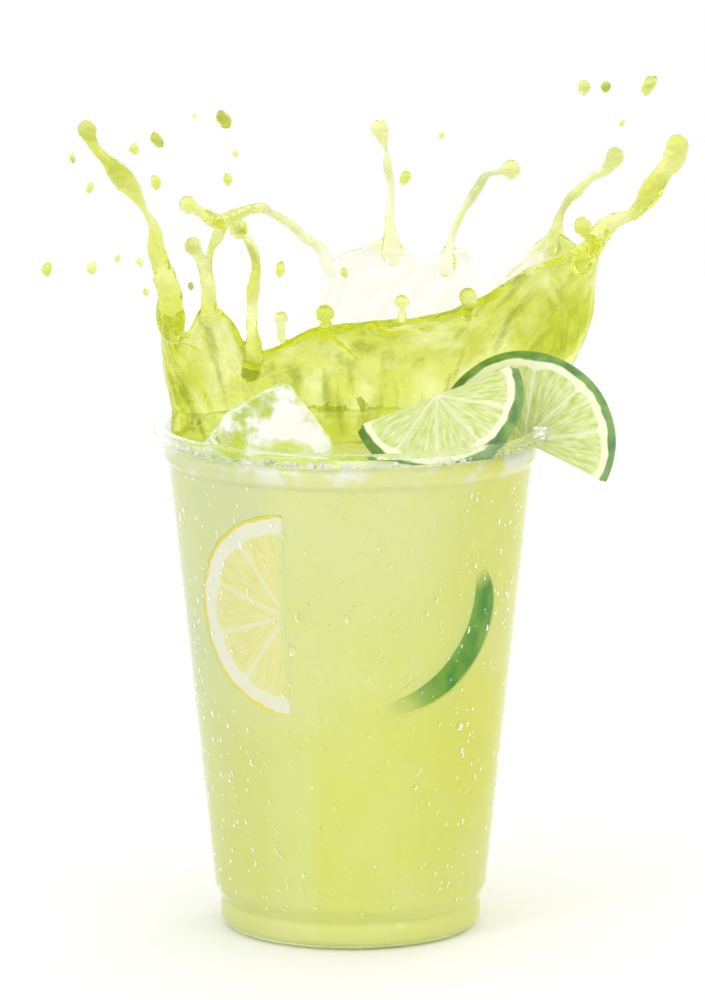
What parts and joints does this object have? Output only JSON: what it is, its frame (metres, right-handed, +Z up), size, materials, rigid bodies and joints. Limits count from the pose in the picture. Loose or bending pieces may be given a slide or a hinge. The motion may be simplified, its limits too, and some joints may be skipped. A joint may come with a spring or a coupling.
{
  "type": "glass of lemonade",
  "caption": "Clear plastic cold cup filled with cloudy citrus lemonade, with ice, lime and lemon half wheels and a frozen crown splash.",
  "frame": {"origin": "centre of the cup's foot ring, on the table", "axes": "+Z up the cup's axis, -Y towards the side that the floating lime and the ice face, +X towards the half wheel of lime that hooks over the rim"},
  "size_m": [0.1497, 0.0981, 0.2031],
  "materials": {
    "cup_plastic": "clear moulded plastic with fine condensation",
    "lemonade": "cloudy liquid",
    "lemonade_splash": "clear liquid",
    "ice": "wet ice",
    "lime": "wet flesh, white pith and green rind",
    "lemon": "wet flesh, white pith and yellow rind"
  },
  "bodies": {
    "root": {"cup": "cup_plastic", "lemonade": "lemonade", "splash": "lemonade_splash", "ice_cube": "ice", "lime_wedge": "lime", "lime_slice_rim": "lime", "lime_slice_sunk": "lime", "lemon_slice": "lemon"}
  },
  "joints": []
}
